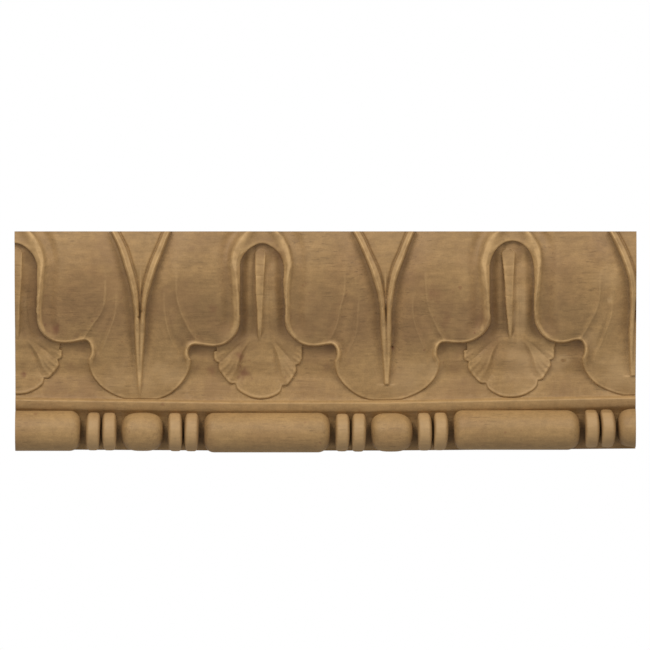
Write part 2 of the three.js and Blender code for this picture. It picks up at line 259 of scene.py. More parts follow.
def rim_relief(u, w, inset, half):
    """The ridge outside the arch's edge, sharper on its outer side, and the soft hollow beyond it."""
    beside = mix(inset - CREST_INSET, u - rim_crest(w), ease(w, 30, 36))
    strength = mix(0.1, 1, ease(w, 22, 32)) * (1 - ease(u, 13, 20))
    inner_width = mix(1.2, 3.0, ease(w, 54, 62))
    crest = np.where(beside < 0, ridge(beside, inner_width), ridge(beside, RIM_OUTER[half]))
    hollow = ridge(beside - 4.7, 3.0)
    bevel = RIM_BEVEL[half] * share(-beside, 0.4, 3.4) * ease(w, 34, 44) * (1 - ease(w, 56, 61))
    return strength * (RIM_RISE * crest - RIM_HOLLOW * hollow - bevel)


# The two stems spread from the midrib like a V, and run on below as one tapering rib. The lean is how far
# the stems' middle stands to the right of the midrib's place, at the foot and at the top.
STEM_JOIN = 32.0
STEM_SPREAD = [10.3, 10.3, 10.2]
STEM_POWER = [1.7, 1.7, 2.4]
STEM_LEAN = [(0.1, 1.0), (-0.3, -1.4), (-1.0, 1.0)]
STEM_OUTER = 0.8
STEM_INNER = [0.75, 1.9]
STEM_RISE = 1.5
STEM_HOLLOW = 2.2
MIDRIB_END = [1.0, 7.0, 9.0]
MIDRIB_FOOT = [0.45, 0.95, 1.1]
MIDRIB_TOP = 2.0


def stem_relief(u, w, side, midrib):
    """Relief of the stems, the midrib and the hollows beside them. q is measured from the stems' middle."""
    low, high = STEM_LEAN[midrib]
    q = np.abs(side * (u - SHEET_WIDTH) - mix(low, high, share(w, 20, BAND_HEIGHT)))
    crest = 1.0 + STEM_SPREAD[midrib] * share(w, STEM_JOIN, BAND_HEIGHT) ** STEM_POWER[midrib]
    merge = 1 - ease(w, STEM_JOIN - 4, STEM_JOIN + 5)
    half_rib = mix(MIDRIB_FOOT[midrib], MIDRIB_TOP, share(w, MIDRIB_END[midrib], STEM_JOIN - 3))
    fade = ease(w, MIDRIB_END[midrib] - 0.6, MIDRIB_END[midrib] + 0.5)

    out = q - crest
    inner = mix(STEM_INNER[0], STEM_INNER[1], ease(w, STEM_JOIN + 2, STEM_JOIN + 20))
    flank = share(-out, 0, inner)
    inner_side = 1 - 0.3 * ease(flank, 0.1, 0.5) - 0.35 * flank
    stem = np.where(out > 0, 1 - share(out, 0, STEM_OUTER) ** 2, inner_side)
    stem = stem * (1 - ease(-out, inner - 0.1, inner + 0.4))
    inner_line = mix(1.1, 0.7, ease(w, STEM_JOIN, STEM_JOIN + 16)) * ridge(out + inner + 0.6, 0.55)
    rib = rounded_step(half_rib - q, 0.8) - 0.3 * ridge(q, 0.35) * ease(w, 8, 20)
    panel_fold = 0.3 * ridge(q, 0.5) * ease(w, 38, 42) * (1 - ease(w, 50, 56))
    edge = mix(crest + STEM_OUTER, half_rib, merge)
    outside = q - edge

    hollow_width = mix(1.4, 4.2, ease(w, 12, 42))
    sunk = share(outside, 0, 0.5) * np.exp(-((np.maximum(outside - 1.2, 0) / hollow_width) ** 1.6))
    hollow = np.where(outside > 0, sunk, 0)
    depth = mix(0.5, STEM_HOLLOW, ease(w, 10, 40)) * mix(0.7, 1, 1 - ease(w, 52, BAND_HEIGHT))
    rise = mix(0.75, 1, ease(w, 8, 30)) * STEM_RISE
    relief = mix(rise * stem - inner_line + panel_fold, rise * rib, merge)
    return (relief - depth * hollow) * fade


# Small holes where the stems meet: (x, level over the fillet, radius, depth).
PITS = [(-73.9, 33.8, 0.55, 0.8), (-72.9, 36.1, 0.5, 0.7), (26.2, 22.1, 0.45, 0.7)]

# How far the folds of each half's leaf stand beside their usual place.
FOLD_SHIFT = [1.7, 0.0, -2.2, 0.0, 0.5]
FOLD_RISE = [0.26, 0.19]


def fold_relief(u, w, half):
    """The two folds that run up the leaf from its curl, and the leaf's swelling between rim and stem."""
    shift = FOLD_SHIFT[half] * ease(w, 24, 40)
    beside_curl = u - (34.4 + shift - 7.6 * share(w, 45.0, 24.8) ** 1.7)
    beside_stem = u - (38.4 + 0.6 * shift - 6.0 * share(w, 39.8, 18.8) ** 1.8)
    fade = (1 - ease(w, 44, 54)) * ease(w, 22, 26)
    first = FOLD_RISE[0] * ridge(beside_curl, 0.6)
    first = first - 0.35 * ridge(beside_curl - 2.4, 1.7) - 0.2 * ridge(beside_curl + 1.8, 1.2)
    fade_second = (1 - ease(w, 34, 46)) * ease(w, 16.5, 24)
    second = FOLD_RISE[1] * ridge(beside_stem - 0.9, 0.5) - 0.26 * ridge(beside_stem + 0.3, 0.8)
    swell = 0.6 * ridge(u - 26, 9) * ease(w, 26, 50)
    return first * fade + second * fade_second + swell


# The fan at the tongue's foot has five lobes round a pivot, with a crease and a nick between each two.
# For each half: (direction of the outer nick, of the inner nick, reach of the side lobes).
PIVOT = 26.8
FAN_REACH = 20.0
FAN_DROOP = [4.9, 5.2, 5.2, 5.9, 5.9]
FAN_SPREAD = 71.0
FAN_TIP_DROP = 1.2
FAN_SIDES = [
    (58.6, 31.9, 1.02),
    (57.0, 27.0, 1.04),
    (49.0, 23.5, 0.92),
    (57.0, 26.5, 1.04),
    (56.0, 29.5, 0.96),
]
FAN_THICKNESS = 0.75
FAN_FOOT_THICKNESS = 0.35
NICK_DEPTH = 1.2
NICK_WIDTH = 3.0
LOBE_SWELL = 0.55
CREASE_DEPTH = 0.44
CREASE_BEND = 26.0
LIP_RISE = 0.24


def lobe_swell(angle, start, end):
    t = (2 * angle - start - end) / (end - start)
    return np.clip(1 - t**2, 0, 1)


def fan_surface(u, w, half):
    """(inset, relief) of the fan."""
    outer_nick, inner_nick, side_reach = FAN_SIDES[half]
    angle = np.degrees(np.arctan2(u, PIVOT - w))
    radius = np.hypot(u, PIVOT - w)
    turn = np.radians(angle)
    reach = (FAN_REACH + FAN_DROOP[half] * np.cos(turn) ** 4) * mix(1, side_reach, share(angle, 20, 65))
    nicks = ridge(angle - outer_nick, NICK_WIDTH) + ridge(angle - inner_nick, NICK_WIDTH)
    reach = reach - NICK_DEPTH * nicks
    reach = reach - FAN_TIP_DROP * share(angle, 60, 72)
    spread = FAN_SPREAD + 60 * (1 - ease(radius, 16.6, 18.4))
    inset = np.minimum(reach - radius, np.radians(spread - angle) * radius)

    bend = CREASE_BEND * (1 - share(radius, 5, 18)) ** 1.3
    inner, outer = inner_nick + bend, outer_nick + 0.6 * bend
    arc_length = np.radians(1) * radius
    creases = ridge((angle - inner) * arc_length, 0.9) + 0.6 * ridge((angle - outer) * arc_length, 0.6)
    swell = np.maximum(lobe_swell(angle, -inner, inner), lobe_swell(angle, inner, outer))
    swell = np.maximum(swell, 0.8 * lobe_swell(angle, outer, 86))
    rib_turn = np.where(angle < inner, angle / inner * 3, (angle - inner) / (outer - inner) * 4)
    ribs = np.cos(2 * math.pi * rib_turn) * np.where(angle < inner, 0.05, 0.11) * ease(radius, 13, 18)
    stripes = 0.26 * ridge(angle - inner - 7, 2.8) * ease(radius, 4, 9) * (1 - ease(radius, 15, 19))
    lip = LIP_RISE * ridge(inset - 0.7, 0.45) * ease(radius, 12, 17)
    fade = ease(radius, 3, 11)
    swell = LOBE_SWELL * swell * fade * (1 - 0.6 * ease(radius, 17, 24))
    relief = swell + ribs + stripes + lip - CREASE_DEPTH * creases * fade
    return inset, mix(FAN_FOOT_THICKNESS, FAN_THICKNESS, ease(w, 2, 12)) + relief


# The bed of the arch is highest beside the pin and falls off to the sides, and spreads into the fan below.
BED_RISE = [2.2, 1.35, 2.7, 1.25, 3.1]
BED_FALL = [(8.6, 1.5), (8.3, 1.4), (10.4, 2.4), (8.2, 1.3), (10.6, 2.4)]
BED_SPREAD = 1.45
STALK_HALF_WIDTH = 9.6


def bed_surface(u, w, half):
    spread = 1 + BED_SPREAD * share(w, 36, 12.6) ** 1.9
    across = u / spread
    half_width, power = BED_FALL[half]
    dome = 1 - share(across, 2.0, half_width) ** power
    roll = 0.3 * ridge(across - 5.2, 1.2) - 0.25 * ridge(across - 3.2, 0.7)
    rise = mix(1.9, mix(BED_RISE[half], 1.7, ease(w, 46, 60)), ease(u, 0, 2.5))
    return rise * dome + roll * ease(w, 16, 30) + 1.3 * ease(w, 55, 62)


def fan_and_bed(u, w, ground, half):
    """The surface inside the opening that the leaves leave round a tongue."""
    tongue, side, midrib = HALVES[half]
    inset, fan = fan_surface(np.abs(u - side * FAN_SHIFT[tongue]), w, half)
    bed = bed_surface(u, w, half)
    surface = ground + mix(fan, bed, ease(w, 16, 31))
    stalk = np.minimum(STALK_HALF_WIDTH - u, w - (PIVOT - 5))
    return nosed(surface, ground, np.maximum(inset, stalk), 0.4)


# The pin down the tongue's middle tapers to its foot. Its right flank falls off in a soft skirt.
PIN_TOP = 61.0
PIN_FOOT = [21.0, 22.4, 24.8]
PIN_RISE = 1.25


def pin_height(u, w, ground, side, tongue):
    t = share(w, PIN_TOP, PIN_FOOT[tongue])
    at_foot, at_top = PIN_SHIFT[tongue]
    right = side * u - mix(at_top, at_foot, t**0.7)
    u = np.abs(right)
    top_round = np.sqrt(np.clip(1 - (1 - share(w, PIN_TOP, PIN_TOP - 2.4)) ** 2, 0, 1))
    half_width = mix(PIN_HALF_WIDTH[tongue], 0.6, t**0.6) * top_round
    inset = np.minimum(half_width - u, (w - PIN_FOOT[tongue]) * 0.6)
    edge = ridge(half_width - right - 0.35, 0.3) - 0.5 * ridge(half_width + right - 0.35, 0.3)
    tilt = 0.12 * right + 0.14 * edge
    cracks = 0.1 * (ridge(w - 54.3, 0.3) + ridge(w - 50.2, 0.35) + ridge(w - 42.6, 0.3))
    rise = PIN_RISE * mix(0.1, 1, ease(PIN_TOP - w, 0, 6)) * mix(1, 1.1, t**2)
    foot = ground + mix(1.6, 1.9, ease(w, 16, 31)) + 1.3 * ease(w, 55, 62)
    face = foot + rise + tilt * mix(1, 0.3, t) - cracks
    skirt_rise = 0.8 * rise * ease(w, PIN_FOOT[tongue], PIN_FOOT[tongue] + 7) * (w < PIN_TOP)
    skirt = foot - 0.3 + (skirt_rise + 0.3) * np.exp(-np.maximum(right - half_width, 0) / 1.3)
    skirt = np.where((right > 0) & (skirt_rise > 0), skirt, ABSENT)
    return np.maximum(nosed(face, foot - 1, inset, 0.55), skirt)


def half_relief(u, w, half):
    """Projection of the carved band over one half repeat."""
    tongue, side, midrib = HALVES[half]
    edge = leaf_edge(half)
    inset = inset_from(edge, u, w)
    ground = ground_projection(w)

    leaf = leaf_projection(w) + rim_relief(u, w, inset, half)
    leaf = leaf + stem_relief(u, w, side, midrib) + fold_relief(u, w, half)
    # The tips lie thin on the ground, and under the curl the leaf bends back towards its edge.
    thin = (1 - ease(w, 9, 19)) * (1 - ease(inset, 0, 9))
    leaf = mix(leaf, ground + mix(0.4, 1.3, ease(w, 0.5, 9)), thin * mix(1, 0.75, ease(w, 1, 9)))
    leaf = leaf - 0.9 * (1 - share(inset, 0, 7)) ** 2 * (1 - ease(w, 26, 36)) * ease(w, 17, 22)
    # A thin lip follows the edge. It is strongest round the curl.
    lip = mix(0.14, 1.5 * LIP_RISE, ease(w, 10, 18)) * (1 - ease(w, 24, 34))
    leaf = leaf + lip * ridge(inset - 0.55, 0.4)
    by_hook = ridge(np.hypot(u - CURL_CENTRE[0] - 1.5, w - CURL_CENTRE[1]), 4.4)
    leaf = leaf + by_hook * (1.6 * ridge(inset - 1.0, 0.75) - 1.1 * ridge(inset - 3.2, 1.2))
    nose = mix(0.6, 1.1, ease(w, 26, 42)) * mix(1, 0.7, ease(w, 57, 62))
    leaf = nosed(leaf, ground, inset, nose)

    # A soft cove joins the leaf's edge to the surface beside it.
    by_curl = ease(w, 10, 18) * (1 - ease(w, 23, 30))
    cove = mix(0.9, 1.0, by_curl) * ease(w, 6, 15)
    cove_width = mix(0.7, 1.5, by_curl)
    near_edge = cove * np.exp(np.minimum(inset, 0) / cove_width)
    bed = fan_and_bed(u, w, ground, half)
    base = np.maximum(bed, ground) + near_edge + 2.0 * by_curl
    pin = pin_height(u, w, ground, side, tongue)
    return np.maximum(np.maximum(base, pin), leaf)


# Rows below the band: (projection, level) of the fillet and of the wall behind the beads.
FILLET_ROWS = [
    (GROUND_PROJECTION + 0.15, FILLET_TOP + 0.9),
    (GROUND_PROJECTION + 0.6, FILLET_TOP + 0.55),
    (FILLET_PROJECTION - 0.6, FILLET_TOP + 0.15),
    (FILLET_PROJECTION - 0.15, FILLET_TOP - 0.05),
    (FILLET_PROJECTION, FILLET_TOP - 0.35),
    (FILLET_PROJECTION, FILLET_TOP - 0.7),
    (FILLET_PROJECTION - 0.4, FILLET_FOOT + 1.1),
    (FILLET_PROJECTION - 0.6, FILLET_FOOT + 0.5),
    (FILLET_PROJECTION - 0.9, FILLET_FOOT + 0.05),
    (FILLET_PROJECTION - 1.3, FILLET_FOOT - 0.3),
    (AXIS_PROJECTION - 0.7, COURSE_TOP - 0.8),
    (WALL_PROJECTION + 3.4, COURSE_TOP - 1.7),
    (WALL_PROJECTION + 2.6, COURSE_TOP - 3.1),
    (WALL_PROJECTION + 2.0, COURSE_TOP - 4.8),
    (WALL_PROJECTION + 1.4, AXIS_LEVEL),
    (WALL_PROJECTION + 0.8, AXIS_LEVEL - 4.0),
    (WALL_PROJECTION, BODY_FOOT),
]

# The foot of the moulding bends up a little towards its ends.
BOW_START = [-38.0, 22.0]
BOW_RISE = [1.2, 2.0]
COURSE_SHARE = [0.6, 0.95]
COURSE_LIFT = 0.3
FOOT_SHARE = 0.4


def bow(x):
    left = share(-x, -BOW_START[0], -LEFT_END) * BOW_RISE[0]
    return left + share(x, BOW_START[1], RIGHT_END) * BOW_RISE[1]


def bow_at(x, z):
    return bow(x) * (1 - ease(z - FILLET_TOP, 0, 26))


def course_bow(x):
    return COURSE_LIFT + bow(x) * np.where(x < 0, COURSE_SHARE[0], COURSE_SHARE[1])


# The band's own rows of points end this far over the fillet, and the rows of FILLET_ROWS follow below.
LOWEST_BAND_ROW = 1.3
# How far the carving strays from its drawn lines and from its drawn surface.
DRIFT = 0.22
UNEVENNESS = 0.06
FRONT_CLEARANCE = 0.02


def band_grid(step):
    """Columns x, rows z and the projection at each point of the carved front."""
    columns = round(LENGTH / step) + 1
    x = np.linspace(LEFT_END, RIGHT_END, columns)
    band_rows = round((BAND_HEIGHT - LOWEST_BAND_ROW) / step) + 1
    w = np.linspace(BAND_HEIGHT, LOWEST_BAND_ROW, band_rows)
    grid_x, grid_w = np.meshgrid(x, w)
    drift_u = DRIFT * wobble(grid_x, grid_w, 3, 40, 12)
    drift_w = DRIFT * wobble(grid_x, grid_w, 4, 40, 12)
    projection = np.zeros(grid_x.shape)
    for half, (tongue, side, midrib) in enumerate(HALVES):
        first = LEFT_END + 2 * HALF_REPEAT * tongue + TONGUE_DRIFT[tongue]
        last = LEFT_END + 2 * HALF_REPEAT * midrib + HALF_REPEAT
        low, high = min(first, last), max(first, last)
        mine = (x >= low - 1e-6) & (x <= high + 1e-6)
        if half == 0:
            mine |= x < low
        u = (grid_x[:, mine] - first) / (last - first) * SHEET_WIDTH
        soft = ease(u, 0, 4) * (1 - ease(u, SHEET_WIDTH - 4, SHEET_WIDTH))
        u = np.clip(u + drift_u[:, mine] * soft, 0, SHEET_WIDTH)
        level = grid_w[:, mine] + drift_w[:, mine] * (1 - ease(grid_w[:, mine], 60, BAND_HEIGHT))
        projection[:, mine] = half_relief(u, level, half)
    projection += UNEVENNESS * wobble(grid_x, grid_w, 5, 18, 4)
    for pit_x, pit_w, radius, depth in PITS:
        projection -= depth * ridge(np.hypot(grid_x - pit_x, grid_w - pit_w), radius)
    rows_z = [FILLET_TOP + w]
    rows_p = [projection]
    for row_projection, level in FILLET_ROWS:
        rows_z.append(np.array([level]))
        rows_p.append(np.full((1, columns), row_projection))
    projection = np.minimum(np.concatenate(rows_p), MOST_PROJECTION - FRONT_CLEARANCE)
    return x, np.concatenate(rows_z), projection


def new_object(name, vertices, faces):
    mesh = bpy.data.meshes.new(name)
    mesh.from_pydata(vertices, [], faces)
    mesh.update()
    made = bpy.data.objects.new(name, mesh)
    bpy.context.scene.collection.objects.link(made)
    return made


def grid_quads(rows, columns):
    index = np.arange(rows * columns).reshape(rows, columns)
    return np.stack([index[:-1, :-1], index[1:, :-1], index[1:, 1:], index[:-1, 1:]], -1).reshape(-1, 4)


def carved_block(step):
    """The whole band, fillet and wall as one closed block with a flat back."""
    x, z, projection = band_grid(step)
    rows, columns = projection.shape
    grid_x, grid_z = np.meshgrid(x, z)
    grid_z = grid_z + np.where(grid_z > BODY_FOOT, bow_at(grid_x, grid_z), FOOT_SHARE * bow(grid_x))
    front = np.stack([grid_x, -projection, grid_z], -1).reshape(-1, 3)
    index = np.arange(rows * columns).reshape(rows, columns)
    rim = np.concatenate([index[:-1, 0], index[-1, :-1], index[:0:-1, -1], index[0, :0:-1]])
    back = front[rim] * (1, 0, 1)
    back_rim = len(front) + np.arange(len(rim))
    centre = len(front) + len(rim)
    middle = np.array([[0, 0, (TOP + BODY_FOOT) / 2]])
    following = np.roll(np.arange(len(rim)), -1)
    sides = np.stack([rim[following], rim, back_rim, back_rim[following]], -1)
    backs = np.stack([back_rim[following], back_rim, np.full(len(rim), centre)], -1)
    vertices = np.concatenate([front, back, middle]) * MM
    faces = grid_quads(rows, columns).tolist() + sides.tolist() + backs.tolist()
    return new_object("block", vertices.tolist(), faces), (x, z, projection)


def apply_modifier(piece, kind, **settings):
    modifier = piece.modifiers.new(kind.lower(), kind)
    for key, value in settings.items():
        setattr(modifier, key, value)
    depsgraph = bpy.context.evaluated_depsgraph_get()
    made = bpy.data.meshes.new_from_object(piece.evaluated_get(depsgraph))
    piece.modifiers.clear()
    old = piece.data
    piece.data = made
    bpy.data.meshes.remove(old)


# The bead course. A power of 2 would make a bead's outline an ellipse, and a higher one makes it fuller.
BEAD_WIDTH = 16.6
REEL_WIDTH = 5.8
BEAD_INSET = 0.3
REEL_INSET = 0.4
BEAD_POWER = 3
REEL_POWER = 4.4
BEAD_RINGS = 36
REEL_RINGS = 26
REEL_GAP = 0.6
BEAD_GAP = 1.9
BARREL_END_ROUND = 4.4
LAST_BEAD_ASIDE = -1.2
REEL_BOW = 0.9
REELS_STRAIGHT_AT = -70.0
TURN_STEPS = 60


def turned(x, along, radius, seed):
    """Vertices and faces of a closed turned piece on the bead axis, a little uneven, as carved ones are."""
    rng = np.random.default_rng(seed)
    rings = len(along) - 2
    turn = np.linspace(0, 2 * math.pi, TURN_STEPS, endpoint=False)
    shape = 1 - 0.008 * (1 + np.sin(2 * turn + rng.uniform(0, 6)))
    tilt = rng.uniform(-0.03, 0.03)
    bend = rng.uniform(-0.25, 0.25) - REEL_BOW * share(x, REELS_STRAIGHT_AT, RIGHT_END)
    ring_radius = radius[1:-1, None]
    bent = (ring_radius / COURSE_RADIUS * np.sin(turn)) ** 2
    aside = tilt * ring_radius * np.sin(turn) + bend * bent
    ring_x = x + along[1:-1, None] + aside
    ring_y = -AXIS_PROJECTION - ring_radius * np.cos(turn) * shape
    level = AXIS_LEVEL + float(course_bow(x))
    ring_z = level + ring_radius * np.sin(turn) * shape
    body = np.stack([ring_x, ring_y, ring_z], -1).reshape(-1, 3)
    poles = [[x + along[0], -AXIS_PROJECTION, level], [x + along[-1], -AXIS_PROJECTION, level]]
    faces = []
    for ring in range(rings - 1):
        for i in range(TURN_STEPS):
            j = (i + 1) % TURN_STEPS
            a, b = ring * TURN_STEPS, (ring + 1) * TURN_STEPS
            faces.append([a + i, b + i, b + j, a + j])
    first, last = rings * TURN_STEPS, rings * TURN_STEPS + 1
    for i in range(TURN_STEPS):
        j = (i + 1) % TURN_STEPS
        end = (rings - 1) * TURN_STEPS
        faces.append([first, i, j])
        faces.append([last, end + j, end + i])
    return np.concatenate([body, poles]), faces


def rounded_outline(width, radius, power, steps):
    angle = np.linspace(0, math.pi, steps + 1)
    along = -np.sign(np.cos(angle)) * np.abs(np.cos(angle)) ** (2 / power) * width / 2
    return along, np.clip(np.sin(angle), 0, 1) ** (2 / power) * radius


def barrel_outline(length):
    corner = arc((-length / 2 + BARREL_END_ROUND, COURSE_RADIUS - BARREL_END_ROUND),
                 (BARREL_END_ROUND, BARREL_END_ROUND), 180, 90, 10)
    middle = np.linspace(-length / 2 + BARREL_END_ROUND, length / 2 - BARREL_END_ROUND, 10)[1:-1]
    along = np.concatenate([[-length / 2], corner[:, 0], middle, -corner[::-1, 0], [length / 2]])
    radius = np.concatenate([[0], corner[:, 1], np.full(len(middle), COURSE_RADIUS), corner[::-1, 1], [0]])
    return along, radius


def bead_course():
    """All beads, reels and barrels, as closed pieces side by side."""
    first_reel = BEAD_WIDTH / 2 + BEAD_GAP + REEL_WIDTH / 2
    second_reel = first_reel + REEL_WIDTH + REEL_GAP
    barrel = 2 * HALF_REPEAT - 2 * (second_reel + REEL_WIDTH / 2 + BEAD_GAP)
    bead_outline = rounded_outline(BEAD_WIDTH, COURSE_RADIUS - BEAD_INSET, BEAD_POWER, BEAD_RINGS)
    reel_outline = rounded_outline(REEL_WIDTH, COURSE_RADIUS - REEL_INSET, REEL_POWER, REEL_RINGS)
    vertices, faces, seed = [], [], 100

    def put(x, outline, width):
        nonlocal seed
        seed += 1
        if x + width / 2 < LEFT_END or x - width / 2 > RIGHT_END:
            return
        points, quads = turned(x, *outline, seed)
        start = len(vertices)
        vertices.extend(points.tolist())
        faces.extend([[start + i for i in face] for face in quads])

    # A bead stands under each midrib and a barrel under each tongue, with two reels between the two.
    for k in range(-1, 3):
        midrib = LEFT_END + HALF_REPEAT + 2 * HALF_REPEAT * k
        bead = midrib * COURSE_STRETCH + COURSE_SHIFT
        aside = LAST_BEAD_ASIDE if k == 2 else 0
        put(bead + aside, bead_outline, BEAD_WIDTH)
        put(bead + HALF_REPEAT * COURSE_STRETCH, barrel_outline(barrel), barrel)
        for offset in (-second_reel, -first_reel, first_reel, second_reel):
            put(bead + offset, reel_outline, REEL_WIDTH)
    return new_object("course", (np.array(vertices) * MM).tolist(), faces)


def trim_box():
    """A box that keeps what lies between the two ends, and reaches far beyond it every other way."""
    low = (LEFT_END * MM, -1.0, -1.0)
    high = (RIGHT_END * MM, 1.0, 1.0)
    corners = list(itertools.product(*zip(low, high)))
    faces = [(0, 1, 3, 2), (4, 6, 7, 5), (0, 4, 5, 1), (2, 3, 7, 6), (0, 2, 6, 4), (1, 5, 7, 3)]
    return new_object("trim", corners, faces)


def box_blur(field, reach):
    """Averages a field over a square, reach cells each way."""
    for axis in (0, 1):
        padded = np.concatenate([np.repeat(field.take([0], axis), reach + 1, axis), field,
                                 np.repeat(field.take([-1], axis), reach, axis)], axis)
        total = np.cumsum(padded, axis)
        size = 2 * reach + 1
        field = (total.take(range(size, total.shape[axis]), axis)
                 - total.take(range(0, total.shape[axis] - size), axis)) / size
    return field


# Reddish-brown stains: (x, z, radius, strength) over the front.
STAINS = [
    (-106.8, 5.3, 1.5, 1.0), (-119.5, -12.2, 0.9, 1.0), (-45.0, -10.6, 1.6, 0.6), (-33.8, -5.4, 1.4, 0.8),
    (-32.6, -12.2, 2.0, 0.9), (-86.0, -26.1, 1.6, 0.6), (-44.7, 13.3, 1.5, 0.5), (43.3, 19.3, 2.2, 0.5),
    (47.7, 8.5, 2.0, 0.45), (26.4, -2.0, 0.6, 1.0), (-18.0, 35.0, 3.0, 0.35), (62.0, 9.0, 2.4, 0.3),
]


# Wide, faint zones of painted shade and painted light, with some of the resin's own tone, darker than the
# rest or, with a strength below 0, lighter: (x, z, radius, strength).
TONE_AND_PAINTED_LIGHT_ZONES = [
    (-91.6, 18.0, 9.0, 0.5), (-83.5, 24.0, 5.5, 0.7), (-88.0, 40.0, 4.0, 0.6), (-86.0, 34.0, 5.0, 0.5),
    (-120.0, 38.0, 4.0, 0.7), (-85.0, 9.0, 6.0, 0.9), (-111.5, 5.0, 5.5, 1.0), (-60.0, 40.0, 4.0, 0.5),
    (-65.5, 14.0, 6.0, 0.8), (-56.0, 18.5, 6.0, 0.8), (-38.0, 3.5, 6.0, 1.0), (-33.0, 0.0, 5.0, 0.4),
    (-24.8, 38.2, 3.8, 1.0), (-12.0, 4.0, 6.0, 0.7), (-2.0, 12.0, 10.0, 0.6), (13.0, 4.0, 9.0, 0.7),
    (16.0, 14.0, 4.5, 0.4), (36.0, 34.0, 4.5, 0.6), (33.6, 24.5, 4.5, 0.8), (37.5, 2.5, 6.0, 0.8),
    (45.7, 14.5, 4.0, 0.5), (56.5, 6.0, 7.5, 1.0), (51.6, -7.4, 4.0, 0.8), (58.0, 33.0, 5.0, 0.4),
    (75.5, 38.4, 3.6, 0.8), (92.0, 28.0, 8.0, 0.4), (93.4, 18.5, 5.0, 0.4), (87.5, 4.0, 6.0, 0.8),
    (-107.0, -18.6, 6.0, 0.9), (-95.0, -18.8, 7.0, 0.9), (-57.0, -20.5, 5.0, 0.5), (-44.0, -18.6, 6.5, 1.0),
    (-6.0, -19.0, 6.0, 0.6), (3.0, -19.5, 5.0, 0.5), (43.0, -19.5, 6.0, 0.6), (54.0, -18.6, 6.0, 0.8),
    (63.0, -19.5, 6.0, 0.5), (93.5, -18.0, 6.5, 1.0),
    (-96.5, -2.3, 1.8, 0.9), (-51.6, -2.2, 1.8, 0.9), (-48.6, -4.0, 3.4, 1.0), (1.4, -2.3, 1.8, 0.9),
    (-2.5, -4.5, 3.2, 1.0), (47.4, -2.2, 1.8, 0.9), (100.7, -0.9, 2.2, 1.0),
    (-72.0, -15.5, 8.0, -0.4), (-85.8, -16.5, 4.5, -0.6), (-60.0, -13.0, 5.0, -0.6),
    (-111.5, -10.6, 4.5, -0.5), (-120.0, 16.0, 4.0, -0.6), (-35.3, 31.0, 3.2, -1.0),
    (-22.0, 18.0, 5.0, -0.7), (-15.0, -9.0, 5.0, -0.6), (24.0, 16.5, 4.2, -1.0), (44.0, -10.5, 4.5, -0.8),
    (34.0, -16.0, 8.0, -0.7), (81.5, -8.4, 9.0, -1.0), (90.5, -8.5, 4.5, -1.0), (77.0, 20.0, 4.5, -1.0),
    (76.5, 10.0, 5.0, -1.0), (103.4, 2.5, 4.5, -0.8), (110.5, 25.5, 6.0, -0.8), (121.5, 12.5, 3.0, -0.7),
    (116.0, -13.0, 8.0, -0.7),
]


# How far round a point its surroundings are averaged, and how much each average counts: (width, share).
SURROUNDINGS = [(0.45, 0.5), (1.2, 0.45), (3.6, 0.35)]
# Only what stands out further than this from the back is stained, or toned and given painted light and
# shade.
PAINTED_FROM = 5.0
# The most painted shade allowed on the band, and the painted shade at the foot of the bead course's gaps.
DEEPEST_RECESS = 1.3
GAP_SHADE = 1.9


def shade_and_highlight_at(co, grid):
    """How deep points lie below their surroundings: about 1 in a groove, and below 0 on a crest. It becomes
    painted shade in the grooves and a painted highlight on the crests, and the bead course's gaps and the
    fillet get their painted shade and highlight here too.
    """
    x, z, projection = grid
    surface = projection[z >= FILLET_TOP + LOWEST_BAND_ROW - 1e-6]
    depth = 0
    for width, part in SURROUNDINGS:
        reach = max(1, round(width / (x[1] - x[0])))
        depth = depth + part * (box_blur(box_blur(surface, reach), reach) - surface)
    column = np.clip(np.round((co[:, 0] - x[0]) / (x[1] - x[0])).astype(int), 0, len(x) - 1)
    unbowed = co[:, 2] - bow_at(co[:, 0], co[:, 2])
    row = np.clip(np.round((z[0] - unbowed) / (z[0] - z[1])).astype(int), 0, len(surface) - 1)
    shade_and_highlight = depth[row, column]
    w = unbowed - FILLET_TOP
    # Painted shade in the grooves is weaker low on the band, near its foot.
    at_foot = 1 - ease(w, 15, 21)
    shade_and_highlight = shade_and_highlight * np.where(shade_and_highlight > 0, 0.8 - 0.4 * at_foot, 1)
    over_axis = co[:, 2] - AXIS_LEVEL - course_bow(co[:, 0])
    from_axis = np.hypot(co[:, 1] + AXIS_PROJECTION, over_axis)
    in_course = unbowed < FILLET_FOOT
    # The gaps of the bead course get painted shade, darkest towards their foot and none towards the top.
    gap_shade = mix(GAP_SHADE, 0.0, ease(over_axis, -7, 4))
    gap_painted_shade = gap_shade * share(COURSE_RADIUS - from_axis, 0.8, 4.0)
    shade_and_highlight = np.where(in_course, gap_painted_shade, np.minimum(shade_and_highlight, DEEPEST_RECESS))
    by_fillet = (unbowed >= FILLET_FOOT) & (unbowed < FILLET_TOP + LOWEST_BAND_ROW)
    # The fillet gets painted shade on its face and a painted highlight along its top edge.
    fillet_edge_highlight = ridge(unbowed - FILLET_TOP + 0.1, 0.35)
    fillet_shade = 0.42 * ease(FILLET_TOP - unbowed, 0.4, 1.6) - 0.5 * fillet_edge_highlight
    shade_and_highlight = np.where(by_fillet, fillet_shade, shade_and_highlight)
    return np.where(co[:, 1] > -0.5, 0, shade_and_highlight)


def spots_at(co, spots, unevenness, longest):
    """Sum of the round spots, with uneven outlines, on the carved front."""
    total = np.zeros(len(co))
    uneven = 1 + unevenness * wobble(co[:, 0], co[:, 2], 9, longest, longest * 0.3)
    for x, z, radius, strength in spots:
        total = total + strength * ridge(np.hypot(co[:, 0] - x, co[:, 2] - z) * uneven, radius)
    return np.where(co[:, 1] > -PAINTED_FROM, 0, np.clip(total, -1, 1))


